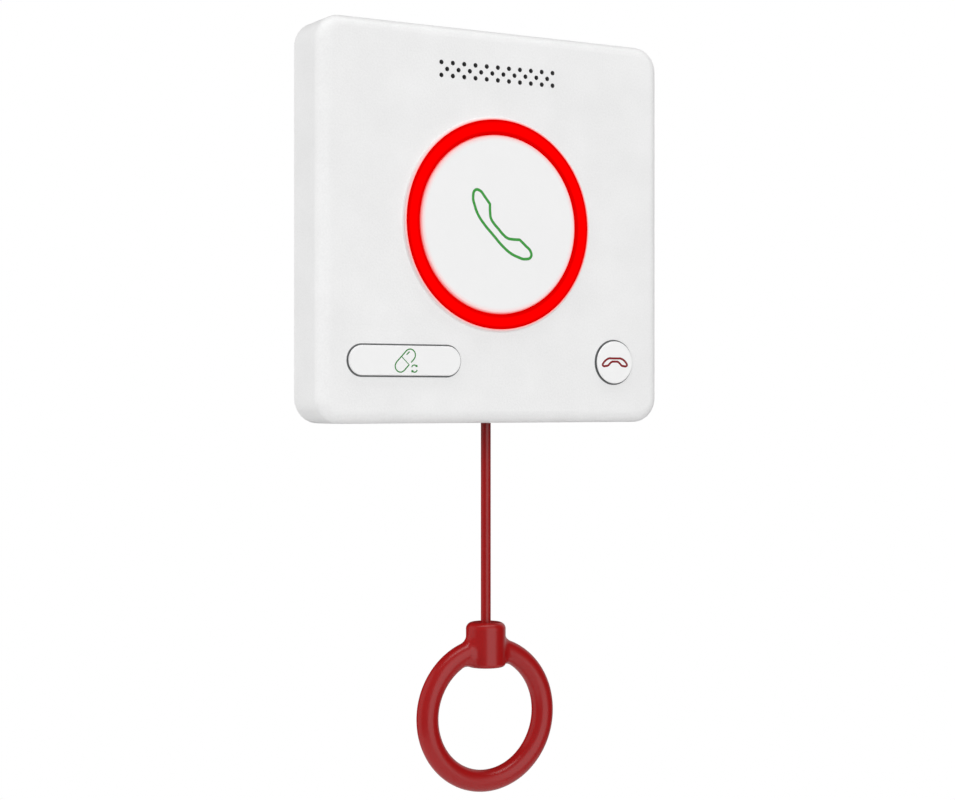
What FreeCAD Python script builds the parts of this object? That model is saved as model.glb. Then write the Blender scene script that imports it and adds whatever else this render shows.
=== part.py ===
import FreeCAD, Part
import math
import os

from FreeCAD import Vector

# A wall call unit: square case, lit ring round a large call button, two small
# buttons, and a pull cord that ends in a ring. It is drawn lying on its back,
# with x across the face, y up the face and z out of the wall, in millimetres,
# and is turned upright onto the wall plane when its pieces are saved.
# The origin is the middle of the face that meets the wall.

# Case, and the play round what is pressed or set into it
case_width = 125.0
case_height = 125.0
case_depth = 18.6
case_corner = 8.0
front_rounding = 3.75
wall = 2.2
inner_rounding = 0.8
press_gap = 0.05

# Lit ring and call button
ring_up = 0.6
ring_to_speaker = 2.0
ring_width = 4.6
ring_proud = 1.25
ring_rounding = 0.45
lip_width = 0.55
lip_below_ring = 0.25
lip_root = 0.5
ring_flange = 2.7
ring_flange_thick = 1.5
ring_ledge = 0.4
ring_ledge_step = 2.1
guide_wall = 2.2
guide_above_board = 1.2
ring_foot_angle = 8.0
lamp_count = 12

# Grille
grille_rows = 3
grille_long_row = 11
grille_pitch = 4.1
grille_row_gap = 2.03
grille_hole = 0.75
grille_from_top = 13.9

# Medication button, measured from the left and lower edges of the case
pill_length = 40.0
pill_height = 10.3
pill_from_left = 29.0
pill_from_bottom = 19.5

# Cancel button, measured from the right and lower edges of the case
cancel_radius = 7.45
cancel_from_right = 18.3
cancel_from_bottom = 19.7

# What the three buttons have in common
button_gap = 0.5
button_proud = 1.0
button_rounding = 0.4
button_skin = 1.6
button_wall = 1.4
button_flange = 1.3
button_flange_thick = 1.2
button_play = 0.3
button_travel = 0.6
collar_wall = 1.2
collar_depth = 2.8
post_radius = 1.9

# Call button
call_gap = 0.3
call_skin = 2.0
call_wall = 1.6
call_flange_gap = 0.4
call_post = 2.5
call_ribs = 6
rib_thick = 1.2
rib_height = 1.6
spring_seat_wall = 1.0
spring_seat_height = 0.8

# Press switches on the board
switch_side = 6.2
switch_height = 3.5
plunger_radius = 1.75
plunger_out = 0.8
plunger_in = 1.1
plunger_room = 0.9
shaft_gap = 0.1

# Circuit board
board_thick = 1.6
board_behind_front = 9.6
board_edge_gap = 1.6
board_corner = 4.0
notch_gap = 0.3
processor_side = 7.0
processor_thick = 0.9
processor_from_right = 18.5
processor_from_top = 32.5
radio_width = 16.0
radio_length = 24.0
radio_base = 0.8
radio_can = 1.8
radio_can_edge = 1.0
radio_can_length = 16.0
radio_from_left = 18.5
radio_from_top = 26.5
lamp_long = 2.0
lamp_wide = 1.4
lamp_tall = 0.8

# Screws that hold the board to the bosses of the case
boss_inset = 6.3
boss_radius = 3.0
screw_shank = 1.2
screw_fit = 0.05
screw_length = 4.6
screw_head = 2.3
screw_head_thick = 1.5
screw_recess = 0.8
screw_drive = 1.0

# Loudspeaker behind the grille, and microphone beside it
speaker_width = 37.0
speaker_height = 20.0
speaker_corner = 3.0
speaker_least_corner = 1.0
speaker_left = 3.4
speaker_wall = 1.2
speaker_floor = 1.0
gasket_thick = 0.8
gasket_wall = 1.2
cone_lip = 0.9
cone_thick = 0.4
cone_dish = 1.6
cone_rise = 0.8
cone_flat_width = 16.0
cone_flat_height = 8.0
cone_flat_corner = 3.6
coil_outer = 3.4
coil_wall = 0.5
coil_length = 0.6
magnet_radius = 5.5
magnet_plate_radius = 7.0
magnet_plate = 0.4
microphone_width = 3.8
microphone_height = 2.8
microphone_thick = 1.1
boot_radius = 3.0
boot_bore = 0.8
boot_grip = 0.1

# Battery on the rear of the board
battery_width = 48.0
battery_length = 50.0
battery_thick = 5.8
battery_rounding = 1.8
battery_up = 0.0
lead_radius = 0.6
lead_gap = 2.4
lead_at = 14.0
lead_length = 5.0
lead_depth = 2.6
plug_width = 7.0
plug_length = 5.0
plug_thick = 4.2

# Wall plate
plate_thick = 2.0
plate_gap = 0.3
plate_rim = 1.2
plate_rim_inset = 2.2
plate_rim_height = 1.6
wall_hole_circle = 60.0
wall_hole_radius = 2.25
wall_hole_count = 4
wall_pad = 2.2
wall_pad_height = 1.0
cradle_wall = 1.4
seat_rib_out = 1.3
seat_rib_thick = 1.2
seat_rib_at = (23.8, 47.0)
hook_width = 8.0
hook_at = 30.0
hook_thick = 1.5
hook_gap = 0.5
hook_barb = 1.4
hook_barb_thick = 1.5
catch_out = 1.2
catch_thick = 1.5
catch_up = 2.6
catch_gap = 0.3

# Locking screw in the lower wall
lock_at = 30.0
lock_depth = 5.8
lock_tab_width = 8.0
lock_tab_length = 5.2
lock_shank = 1.5
lock_drive = 0.9
lock_head = 2.8
lock_head_thick = 1.4
lock_length = 6.4

# Pull cord and what it works
cord_radius = 1.6
cord_behind_front = 7.7
cord_hole_gap = 0.3
cord_in_slider_gap = 0.05
bush_radius = 4.9
bush_flare = 2.5
bush_flange = 2.0
bush_flange_thick = 1.0
pull_travel = 3.0
slider_gap = 0.3
slider_half_width = 4.5
slider_half_depth = 4.0
slider_thick = 3.0
stem_radius = 2.55
stem_length = 5.0
knot_cup_radius = 3.4
knot_cup_height = 4.3
knot_radius = 2.6
knot_gap = 0.2
knot_length = 3.4
knot_softness = 0.4
knot_floor = 0.5
pull_spring_height = 9.0
guide_side_wall = 1.5
guide_rear_wall = 1.2
guide_roof = 1.2
guide_ear = 2.0
guide_ear_thick = 1.5
guide_ear_length = 4.0
arm_reach = 6.5
arm_thick = 1.8
arm_half_width = 1.4
arm_forward = 2.5

# Detector switch beside the slider
detector_length = 12.8
detector_height = 4.0
detector_thick = 5.5
detector_from_guide = 0.3
detector_floor_gap = 1.1
lever_length = 10.8
lever_thick = 0.4
lever_half_width = 1.25
lever_bead = 0.6
lever_barrel = 1.1
lever_pin = 0.5
lever_pin_gap = 0.05
lever_pin_from_end = 1.8
lever_pin_up = 2.3
lever_gap = 0.3
lever_side_gap = 0.3
detector_ear = 0.8
detector_ear_reach = 1.4

# Springs
spring_arcs_per_turn = 4
call_spring_radius = 6.0
call_spring_wire = 0.35
call_spring_turns = 3.0
pull_spring_radius = 3.5
pull_spring_wire = 0.35
pull_spring_turns = 5.0

# Pull ring below the case
cord_drop = 64.15
hoop_radius = 21.34
hoop_tube = 3.5
hub_radius = 6.4
hub_flat_radius = 4.6
hub_shoulder = 2.4
hub_length = 14.35
hub_bottom_rounding = 1.3
hub_above_hoop = 8.35
hub_blend = 4.0
hub_bore_gap = 0.1
hub_knot_depth = 7.0
hub_knot_gap = 0.4
hub_knot_radius = 2.7
hub_knot_length = 3.9
hub_knot_play = 0.3

# Heights and edges that follow from the sizes above
left = -case_width / 2
right = case_width / 2
bottom = -case_height / 2
top = case_height / 2
inside_front = case_depth - wall
grille_y = top - grille_from_top
board_depth = case_depth - board_behind_front
cord_depth = case_depth - cord_behind_front
ring_top = case_depth + ring_proud
ring_outer = grille_y - speaker_height / 2 - ring_to_speaker - ring_flange - ring_up
ring_inner = ring_outer - ring_width
board_front = board_depth + board_thick
ring_flange_low = inside_front - ring_flange_thick
guide_inner = ring_inner + ring_ledge_step
guide_outer = guide_inner + guide_wall
guide_low = board_front + guide_above_board
call_flange_top = inside_front - ring_ledge - button_play
plunger_top = board_front + switch_height + plunger_out
pill_x = left + pill_from_left
pill_y = bottom + pill_from_bottom
cancel_x = right - cancel_from_right
cancel_y = bottom + cancel_from_bottom
button_flange_top = inside_front - button_play
button_flange_low = button_flange_top - button_flange_thick
button_top = case_depth + button_proud
gasket_low = inside_front - gasket_thick
speaker_low = board_front + magnet_plate
cone_ledge = gasket_low - cone_thick - cone_rise
microphone_x = grille_pitch * (grille_long_row - 2) / 2
inside_bottom = bottom + wall
inside_top = top - wall
bush_top = inside_bottom + bush_flange_thick
slider_low = bush_top + pull_spring_height
slider_top = slider_low + slider_thick
cup_top = slider_top + knot_cup_height
guide_top = cup_top + slider_gap + guide_roof
guide_half_width = slider_half_width + slider_gap + guide_side_wall
guide_rear = cord_depth - slider_half_depth - slider_gap - guide_rear_wall
inner_cord_end = bottom + cord_radius + cord_hole_gap
arm_end = slider_half_width + arm_reach
arm_z = cord_depth + arm_forward
detector_left = guide_half_width + guide_ear + detector_from_guide
detector_low = inside_bottom + detector_floor_gap
detector_top = detector_low + detector_height
pin_x = detector_left + detector_length - lever_pin_from_end
pin_y = detector_top + lever_pin_up
hub_top = bottom - cord_drop
hoop_y = hub_top - hub_above_hoop - hoop_radius
battery_low = board_depth - battery_thick


def disc(radius, low, high, x=0.0, y=0.0):
    """A round bar standing off the wall."""
    return Part.makeCylinder(radius, high - low, Vector(x, y, low))


def tube(outer, inner, low, high, x=0.0, y=0.0):
    """A round sleeve standing off the wall."""
    return disc(outer, low, high, x, y).cut(disc(inner, low, high, x, y))


def block(x_range, y_range, z_range):
    """A square-edged block between three pairs of limits."""
    corner = Vector(x_range[0], y_range[0], z_range[0])
    sides = [span[1] - span[0] for span in (x_range, y_range, z_range)]
    return Part.makeBox(*sides, corner)


def bar_down(radius, upper, lower, x=0.0, z=None):
    """A round bar that runs down the face, on the line of the cord unless told otherwise."""
    start = Vector(x, upper, cord_depth if z is None else z)
    return Part.makeCylinder(radius, upper - lower, start, Vector(0, -1, 0))


def rounded_outline(width, height, radius, z, x=0.0, y=0.0):
    """A closed outline of straight sides and round corners, or round ends where no side is left."""
    half_x = width / 2 - radius
    half_y = height / 2 - radius
    edges = []
    for step, (sx, sy) in enumerate(((1, 1), (-1, 1), (-1, -1), (1, -1))):
        centre = Vector(x + sx * half_x, y + sy * half_y, z)
        start = math.radians(90 * step)
        spots = []
        for share in (0, 0.5, 1):
            turn = start + share * math.pi / 2
            spots.append(centre + Vector(radius * math.cos(turn), radius * math.sin(turn), 0))
        edges.append(Part.Arc(*spots).toShape())
    joined = []
    for arc, following in zip(edges, edges[1:] + edges[:1]):
        joined.append(arc)
        end = arc.Vertexes[-1].Point
        begin = following.Vertexes[0].Point
        if end.distanceToPoint(begin) > 1e-6:
            joined.append(Part.LineSegment(end, begin).toShape())
    return Part.Wire(joined)


def slab(width, height, radius, low, high, x=0.0, y=0.0):
    """A plate with round corners, or a stadium where the corner is half its height."""
    face = Part.Face(rounded_outline(width, height, radius, low, x, y))
    return face.extrude(Vector(0, 0, high - low))


def stadium(length, height, low, high, x, y):
    """A plate with two straight sides and two half-round ends."""
    return slab(length, height, height / 2, low, high, x, y)


def turned(profile, x=0.0, y=0.0):
    """A solid of revolution about an axis that stands off the wall, from radius and z pairs."""
    points = [Vector(x + radius, y, z) for radius, z in profile]
    face = Part.Face(Part.makePolygon(points + points[:1]))
    return face.revolve(Vector(x, y, 0), Vector(0, 0, 1), 360)


def turned_on_cord(edges):
    """A solid of revolution about the cord, from edges drawn in its own plane."""
    return Part.Face(Part.Wire(edges)).revolve(Vector(0, 0, cord_depth), Vector(0, 1, 0), 360)


def beside_cord(radius, y):
    """A point at a distance from the cord's line, in the plane of the face."""
    return Vector(radius, y, cord_depth)


def run(first, second):
    """A straight edge."""
    return Part.LineSegment(first, second).toShape()


def edges_at(shape, z, reach=1e-4):
    """The edges that lie whole in one plane parallel to the wall."""
    found = []
    for edge in shape.Edges:
        box = edge.BoundBox
        if abs(box.ZMin - z) < reach and abs(box.ZMax - z) < reach:
            found.append(edge)
    return found


def coil(radius, wire, length, turns):
    """A compression spring along z, from z = 0 to z = length, swept along short arcs of a helix."""
    rise = length - 2 * wire
    steps = round(turns * spring_arcs_per_turn)

    def spot(share):
        turn = 2 * math.pi * turns * share
        return Vector(radius * math.cos(turn), radius * math.sin(turn), wire + rise * share)

    arcs = []
    for step in range(steps):
        spots = [spot((step + part) / steps) for part in (0, 0.5, 1)]
        arcs.append(Part.Arc(*spots).toShape())
    begin = arcs[0].Vertexes[0].Point
    ahead = arcs[0].tangentAt(arcs[0].FirstParameter)
    section = Part.Wire(Part.makeCircle(wire, begin, ahead))
    return Part.Wire(arcs).makePipeShell([section], True, True)


def together(first, *others):
    """One solid from several that touch or overlap."""
    return first.fuse(list(others)).removeSplitter()


def group(shapes):
    """Several separate solids kept as one named piece."""
    return Part.makeCompound(shapes)


def boss_places():
    """Four corners and the two sides, where the board is screwed down."""
    across = case_width / 2 - wall - boss_inset
    along = case_height / 2 - wall - boss_inset
    corners = [(sx * across, sy * along) for sx in (-1, 1) for sy in (-1, 1)]
    return corners + [(-across, ring_up), (across, ring_up)]


def grille_holes():
    """Staggered rows of round holes through the front wall."""
    holes = []
    for row in range(grille_rows):
        count = grille_long_row - row % 2
        y = grille_y + ((grille_rows - 1) / 2 - row) * grille_row_gap
        for place in range(count):
            x = (place - (count - 1) / 2) * grille_pitch
            holes.append(disc(grille_hole, inside_front, case_depth, x, y))
    return holes


def seat_ribs():
    """Short ribs on the inner walls. The wall plate stops against their rear ends."""
    ribs = []
    wall_x = case_width / 2 - wall
    wall_y = case_height / 2 - wall
    for along in seat_rib_at:
        for side in (-1, 1):
            place = (side * along - seat_rib_thick / 2, side * along + seat_rib_thick / 2)
            for end in (-1, 1):
                across = sorted((end * (wall_x - seat_rib_out), end * (wall_x + wall / 2)))
                upright = sorted((end * (wall_y - seat_rib_out), end * (wall_y + wall / 2)))
                ribs.append(block(across, place, (plate_thick, inside_front)))
                ribs.append(block(place, upright, (plate_thick, inside_front)))
    return ribs


def board_bosses():
    """Pillars for the board screws, each tied to the nearest side wall by a web."""
    pillars = []
    for x, y in boss_places():
        pillars.append(disc(boss_radius, board_front, inside_front + wall / 2, x, y))
        side = math.copysign(case_width / 2 - wall / 2, x)
        web_y = (y - rib_thick / 2, y + rib_thick / 2)
        pillars.append(block(sorted((x, side)), web_y, (board_front, inside_front + wall / 2)))
    return pillars


def hook_catches():
    """Ledges inside the upper wall that the hooks of the wall plate snap over."""
    low = plate_thick + catch_up
    ledges = []
    for side in (-1, 1):
        across = (side * hook_at - hook_width / 2, side * hook_at + hook_width / 2)
        upright = (inside_top - catch_out, inside_top + wall / 2)
        ledges.append(block(across, upright, (low, low + catch_thick)))
    return ledges


def front_cover():
    """The moulded case: five walls in one piece, with its openings, collars, ribs and bosses."""
    outer = slab(case_width, case_height, case_corner, 0, case_depth)
    outer = outer.makeFillet(front_rounding, edges_at(outer, case_depth))
    hollow_width = case_width - 2 * wall
    hollow_height = case_height - 2 * wall
    hollow = slab(hollow_width, hollow_height, case_corner - wall, -wall, inside_front)
    hollow = hollow.makeFillet(inner_rounding, edges_at(hollow, inside_front))
    lip_top = ring_top - lip_below_ring
    lip_inner = ring_outer + press_gap
    lip_outer = lip_inner + lip_width
    foot = case_depth - wall / 2
    lip = turned([(lip_inner, foot), (lip_outer + lip_root, foot), (lip_outer + lip_root, case_depth),
                  (lip_outer, case_depth + lip_root), (lip_outer, lip_top - lip_width / 3),
                  (lip_outer - lip_width / 3, lip_top), (lip_inner, lip_top)], 0, ring_up)
    flange_high = pill_height + 2 * (button_flange + button_play)
    flange_long = pill_length + 2 * (button_flange + button_play)
    collar_low = inside_front - collar_depth
    collar_top = inside_front + wall / 2
    grow = 2 * collar_wall
    pill_collar = stadium(flange_long + grow, flange_high + grow, collar_low, collar_top, pill_x, pill_y)
    pill_inside = stadium(flange_long, flange_high, collar_low, inside_front, pill_x, pill_y)
    cancel_inner = cancel_radius + button_flange + button_play
    cancel_collar = disc(cancel_inner + collar_wall, collar_low, collar_top, cancel_x, cancel_y)
    cancel_inside = disc(cancel_inner, collar_low, inside_front, cancel_x, cancel_y)
    body = outer.cut(hollow)
    body = together(body, lip, pill_collar, cancel_collar, *seat_ribs(), *board_bosses(), *hook_catches())
    cuts = [pill_inside, cancel_inside]
    cuts.append(disc(lip_inner, inside_front, ring_top, 0, ring_up))
    cuts.append(stadium(pill_length, pill_height, inside_front, case_depth, pill_x, pill_y))
    cuts.append(disc(cancel_radius, inside_front, case_depth, cancel_x, cancel_y))
    cuts.extend(grille_holes())
    for x, y in boss_places():
        cuts.append(disc(screw_shank + screw_fit, board_front, board_front + screw_length, x, y))
    cuts.append(bar_down(bush_radius + press_gap, inside_bottom, bottom))
    cuts.append(bar_down(lock_shank + screw_fit, inside_bottom, bottom, lock_at, lock_depth))
    cuts.append(lock_head_cone(press_gap))
    return body.cut(cuts)


def lock_head_cone(extra):
    """The countersunk head of the locking screw, flush with the underside of the case."""
    start = Vector(lock_at, bottom, lock_depth)
    return Part.makeCone(lock_head + extra, lock_shank + extra, lock_head_thick, start, Vector(0, 1, 0))


def light_ring():
    """The clear ring that lights up: rim, flange behind the case wall, and a skirt over the lamps."""
    rim = ring_rounding
    profile = [(ring_inner, ring_top - rim), (ring_inner + rim, ring_top), (ring_outer - rim, ring_top),
               (ring_outer, ring_top - rim), (ring_outer, inside_front),
               (ring_outer + ring_flange, inside_front), (ring_outer + ring_flange, ring_flange_low),
               (guide_outer, ring_flange_low), (guide_outer, guide_low), (guide_inner, guide_low),
               (guide_inner, inside_front - ring_ledge), (ring_inner, inside_front - ring_ledge)]
    ring = turned(profile, 0, ring_up)
    sector = tube(guide_outer, guide_inner, board_front, guide_low + rim, 0, ring_up)
    feet = []
    half = math.radians(ring_foot_angle / 2)
    reach = guide_outer + guide_wall
    for quarter in range(4):
        middle = quarter * math.pi / 2
        corners = [Vector(0, ring_up, board_front)]
        for side in (-half, half):
            turn = middle + side
            corners.append(Vector(reach * math.cos(turn), ring_up + reach * math.sin(turn), board_front))
        wedge = Part.Face(Part.makePolygon(corners + corners[:1])).extrude(Vector(0, 0, guide_low))
        feet.append(sector.common(wedge))
    return together(ring, *feet)


def call_button():
    """The large round button: a shallow cap with a skirt, a stop flange, ribs and a centre post."""
    outer = ring_inner - call_gap
    flange = guide_inner - call_flange_gap
    low = call_flange_top - button_flange_thick
    under = ring_top - call_skin
    inner = outer - call_wall
    cap = turned([(0, under), (inner, under), (inner, low), (flange, low), (flange, call_flange_top),
                  (outer, call_flange_top), (outer, ring_top - ring_rounding),
                  (outer - ring_rounding, ring_top), (0, ring_top)], 0, ring_up)
    post = disc(call_post, plunger_top, under + call_skin / 2, 0, ring_up)
    seat = call_spring_radius + call_spring_wire + call_gap
    collar_low = under - spring_seat_height
    collar = tube(seat + spring_seat_wall, seat, collar_low, under + call_skin / 2, 0, ring_up)
    ribs = []
    for number in range(call_ribs):
        rib = block((seat + spring_seat_wall / 2, inner + call_wall / 2), (-rib_thick / 2, rib_thick / 2),
                    (under - rib_height, under + call_skin / 2))
        rib.rotate(Vector(0, 0, 0), Vector(0, 0, 1), 360 / call_ribs * (number + 0.5))
        rib.translate(Vector(0, ring_up, 0))
        ribs.append(rib)
    return together(cap, post, collar, *ribs)


def small_button(outline, x, y):
    """A small button cap, hollow behind, with a stop flange and a post over its switch.

    outline(inset, low, high) gives a solid of the opening's own shape, made smaller by the inset."""
    skin_low = button_top - button_skin
    shell = outline(button_gap, button_flange_low, button_top)
    shell = shell.makeFillet(button_rounding, edges_at(shell, button_top))
    flange = outline(-button_flange, button_flange_low, button_flange_top)
    hollow = outline(button_gap + button_wall, button_flange_low, skin_low)
    post = disc(post_radius, plunger_top, skin_low + button_skin / 2, x, y)
    return together(together(shell, flange).cut(hollow), post)


def pill_outline(inset, low, high):
    return stadium(pill_length - 2 * inset, pill_height - 2 * inset, low, high, pill_x, pill_y)


def cancel_outline(inset, low, high):
    return disc(cancel_radius - inset, low, high, cancel_x, cancel_y)


def switch_body(x, y):
    """A sealed press switch, soldered to the front of the board."""
    top_face = board_front + switch_height
    half = switch_side / 2
    body = block((x - half, x + half), (y - half, y + half), (board_front, top_face))
    well_low = top_face - plunger_in - button_travel - plunger_room
    well = disc(plunger_radius + shaft_gap, well_low, top_face, x, y)
    return body.cut(well)


def switch_plunger(x, y):
    """The moving stem of a press switch, which a button's post pushes."""
    foot = board_front + switch_height - plunger_in
    return disc(plunger_radius, foot, plunger_top, x, y)


def circuit_board():
    """The board, notched round the pull guide and drilled for its screws."""
    outer_x = case_width - 2 * (wall + board_edge_gap)
    outer_y = case_height - 2 * (wall + board_edge_gap)
    board = slab(outer_x, outer_y, board_corner, board_depth, board_front)
    half = guide_half_width + notch_gap
    cuts = [block((-half, half), (bottom, guide_top + notch_gap), (board_depth, board_front))]
    for x, y in boss_places():
        cuts.append(disc(screw_shank + shaft_gap, board_depth, board_front, x, y))
    return board.cut(cuts)


def board_screws():
    """Six pan-head screws, driven from the rear of the board into the case's bosses."""
    screws = []
    head_low = board_depth - screw_head_thick
    for x, y in boss_places():
        head = disc(screw_head, head_low, board_depth, x, y)
        head = head.cut(disc(screw_drive, head_low, head_low + screw_recess, x, y))
        shank_top = board_front + screw_length - screw_fit
        shank = disc(screw_shank, board_depth - screw_recess / 2, shank_top, x, y)
        screws.append(together(head, shank))
    return group(screws)


def indicator_lamps():
    """Small lamps on the board, under the skirt of the lit ring and between its feet."""
    lamps = []
    middle = (guide_inner + guide_outer) / 2
    for number in range(lamp_count):
        lamp = block((middle - lamp_wide / 2, middle + lamp_wide / 2), (-lamp_long / 2, lamp_long / 2),
                     (board_front, board_front + lamp_tall))
        lamp.rotate(Vector(0, 0, 0), Vector(0, 0, 1), 360 / lamp_count * (number + 0.5))
        lamp.translate(Vector(0, ring_up, 0))
        lamps.append(lamp)
    return group(lamps)


def processor_chip():
    x = right - processor_from_right
    half = processor_side / 2
    y = top - processor_from_top
    return block((x - half, x + half), (y - half, y + half), (board_front, board_front + processor_thick))


def radio_module():
    """A small radio board with a shielding can on its lower part and its aerial left bare."""
    x = left + radio_from_left
    half = radio_width / 2
    low = top - radio_from_top - radio_length / 2
    base_top = board_front + radio_base
    base = block((x - half, x + half), (low, low + radio_length), (board_front, base_top))
    can_x = (x - half + radio_can_edge, x + half - radio_can_edge)
    can_y = (low + radio_can_edge, low + radio_can_edge + radio_can_length)
    return together(base, block(can_x, can_y, (base_top - radio_base / 2, base_top + radio_can)))


def speaker_slab(inset, low, high):
    """A plate of the loudspeaker's own outline, made smaller all round by the inset."""
    width = speaker_width - 2 * inset
    height = speaker_height - 2 * inset
    corner = max(speaker_corner - inset, speaker_least_corner)
    return slab(width, height, corner, low, high, -speaker_left, grille_y)


def speaker_gasket():
    """A foam frame that seals the loudspeaker to the wall behind the grille."""
    outer = speaker_slab(0, gasket_low, inside_front)
    return outer.cut(speaker_slab(gasket_wall, gasket_low, inside_front))


def speaker_frame():
    """The loudspeaker's basket: a shallow tray with a ledge for the diaphragm."""
    tray = speaker_slab(0, speaker_low, gasket_low)
    seat = speaker_slab(speaker_wall, cone_ledge, gasket_low)
    pit = speaker_slab(speaker_wall + cone_lip, speaker_low + speaker_floor, cone_ledge)
    hole_radius = magnet_radius + press_gap
    hole = disc(hole_radius, speaker_low, speaker_low + speaker_floor, -speaker_left, grille_y)
    return tray.cut([seat, pit, hole])


def speaker_cone():
    """The diaphragm: a flat rim, a dished oval and the coil former behind it."""
    rim = speaker_slab(speaker_wall, cone_ledge, cone_ledge + cone_thick)
    inset = speaker_wall + cone_lip + cone_dish / 2
    wide = speaker_width - 2 * inset
    high = speaker_height - 2 * inset
    floor = cone_ledge - cone_dish

    def dish(lift, shrink):
        upper = rounded_outline(wide - shrink, high - shrink, speaker_corner - speaker_wall - shrink / 2,
                                cone_ledge + lift, -speaker_left, grille_y)
        lower = rounded_outline(cone_flat_width - shrink, cone_flat_height - shrink,
                                cone_flat_corner - shrink / 2, floor + lift, -speaker_left, grille_y)
        return Part.makeLoft([lower, upper], True)

    body = rim.fuse(dish(0, 0)).cut(dish(cone_thick, cone_thick))
    former = tube(coil_outer, coil_outer - coil_wall, floor - coil_length, floor + cone_thick / 2,
                  -speaker_left, grille_y)
    return together(body, former)


def speaker_magnet():
    """The magnet pot, which rests on the board and closes the rear of the basket."""
    plate = disc(magnet_plate_radius, board_front, speaker_low, -speaker_left, grille_y)
    pot_low = speaker_low - magnet_plate / 2
    pot = disc(magnet_radius, pot_low, speaker_low + speaker_floor, -speaker_left, grille_y)
    return together(plate, pot)


def microphone():
    half_width = microphone_width / 2
    half_height = microphone_height / 2
    return block((microphone_x - half_width, microphone_x + half_width),
                 (grille_y - half_height, grille_y + half_height),
                 (board_front, board_front + microphone_thick))


def microphone_boot():
    """A rubber sleeve from the microphone to one hole of the grille."""
    sleeve = disc(boot_radius, board_front, inside_front, microphone_x, grille_y)
    half_width = microphone_width / 2 + boot_grip
    half_height = microphone_height / 2 + boot_grip
    pocket = block((microphone_x - half_width, microphone_x + half_width),
                   (grille_y - half_height, grille_y + half_height),
                   (board_front, board_front + microphone_thick))
    return sleeve.cut([pocket, disc(boot_bore, board_front, inside_front, microphone_x, grille_y)])


def battery_pack():
    """A flat sealed cell stuck to the rear of the board."""
    return slab(battery_width, battery_length, battery_rounding, battery_low, board_depth, 0, battery_up)


def battery_plug():
    y = battery_up + battery_length / 2 + lead_length
    across = (lead_at - plug_width / 2, lead_at + plug_width / 2)
    return block(across, (y, y + plug_length), (board_depth - plug_thick, board_depth))


def battery_leads():
    """Two short wires from the cell to its plug."""
    start = battery_up + battery_length / 2
    wires = []
    for side in (-0.5, 0.5):
        origin = Vector(lead_at + side * lead_gap, start, board_depth - lead_depth)
        wires.append(Part.makeCylinder(lead_radius, lead_length, origin, Vector(0, 1, 0)))
    return group(wires)


def wall_hole_places():
    """Screw places on a circle, so that the plate fits a wall box either way round."""
    places = []
    for number in range(wall_hole_count):
        turn = 2 * math.pi * number / wall_hole_count
        places.append((wall_hole_circle / 2 * math.cos(turn), wall_hole_circle / 2 * math.sin(turn)))
    return places


def wall_plate():
    """The plate that is screwed to the wall, with hooks above and a locking tab below."""
    width = case_width - 2 * (wall + plate_gap)
    height = case_height - 2 * (wall + plate_gap)
    corner = case_corner - wall - plate_gap
    plate = slab(width, height, corner, 0, plate_thick)
    rim_width = width - 2 * plate_rim_inset
    rim_height = height - 2 * plate_rim_inset
    rim_top = plate_thick + plate_rim_height
    rim = slab(rim_width, rim_height, corner, plate_thick / 2, rim_top)
    hollow = slab(rim_width - 2 * plate_rim, rim_height - 2 * plate_rim, corner - plate_rim,
                  plate_thick / 2, rim_top)
    cradle_width = battery_width - 2 * battery_rounding
    cradle_length = battery_length - 2 * battery_rounding
    cradle = slab(cradle_width, cradle_length, battery_rounding, plate_thick / 2, battery_low, 0, battery_up)
    cradle_hollow = slab(cradle_width - 2 * cradle_wall, cradle_length - 2 * cradle_wall,
                         battery_rounding - cradle_wall / 2, plate_thick / 2, battery_low, 0, battery_up)
    pads = []
    holes = []
    pad_top = plate_thick + wall_pad_height
    for x, y in wall_hole_places():
        pads.append(disc(wall_hole_radius + wall_pad, plate_thick / 2, pad_top, x, y))
        holes.append(disc(wall_hole_radius, 0, pad_top, x, y))
    plate = together(plate, rim.cut(hollow), cradle.cut(cradle_hollow), *pads, *plate_hooks(), lock_tab())
    return plate.cut(holes)


def plate_hooks():
    """Two upright fingers whose barbs snap behind the ledges of the case."""
    hooks = []
    outer = inside_top - catch_out - hook_gap
    barb_low = plate_thick + catch_up + catch_thick + catch_gap
    for side in (-1, 1):
        across = (side * hook_at - hook_width / 2, side * hook_at + hook_width / 2)
        barb_top = barb_low + hook_barb_thick
        finger = block(across, (outer - hook_thick, outer), (plate_thick / 2, barb_top))
        barb = block(across, (outer - hook_thick / 2, outer + hook_barb), (barb_low, barb_top))
        hooks.extend([finger, barb])
    return hooks


def lock_tab():
    """A block inside the lower wall that takes the locking screw."""
    across = (lock_at - lock_tab_width / 2, lock_at + lock_tab_width / 2)
    low = inside_bottom + plate_gap
    tab = block(across, (low, low + lock_tab_length), (plate_thick / 2, board_depth - plate_gap))
    return tab.cut(bar_down(lock_shank + screw_fit, low + lock_tab_length, low, lock_at, lock_depth))


def locking_screw():
    """A countersunk screw through the lower wall into the tab of the wall plate."""
    start = Vector(lock_at, bottom, lock_depth)
    shank = Part.makeCylinder(lock_shank, lock_length, start, Vector(0, 1, 0))
    socket = Part.makeCylinder(lock_drive, lock_head_thick, start, Vector(0, 1, 0))
    return together(lock_head_cone(0), shank).cut(socket)


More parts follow.
